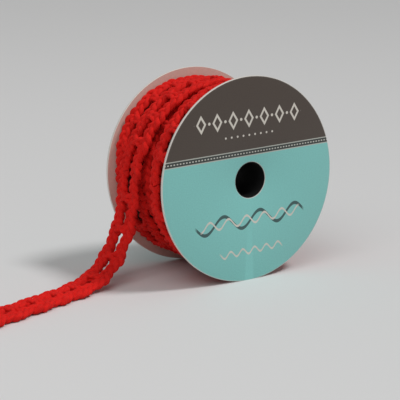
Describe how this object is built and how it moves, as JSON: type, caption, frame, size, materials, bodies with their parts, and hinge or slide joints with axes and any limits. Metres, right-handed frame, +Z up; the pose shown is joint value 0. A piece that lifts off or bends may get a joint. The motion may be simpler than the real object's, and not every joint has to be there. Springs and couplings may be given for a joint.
{
  "type": "openwork crochet ribbon on a card reel",
  "caption": "Red cotton openwork crochet ribbon wound on a round two-tone card reel with a spindle hole, its loose end running out over the table.",
  "frame": {"origin": "middle of the bottom of the whole object's box, at the level that the reel's flat feet and the loose end rest on", "axes": "+Z up; the reel's axle lies along Y and its printed front flange faces -Y; the ribbon's loose end runs out towards -X"},
  "size_m": [0.1386, 0.0372, 0.0698],
  "materials": {
    "red_cotton": "matte crochet cotton yarn",
    "printed_card": "satin print, white inside and at the cut edge",
    "black_plastic": "moulded, matte"
  },
  "bodies": {
    "root": {"front_flange": "printed_card", "back_flange": "printed_card", "hub": "black_plastic", "winding": "red_cotton", "loose_end": "red_cotton"}
  },
  "joints": []
}
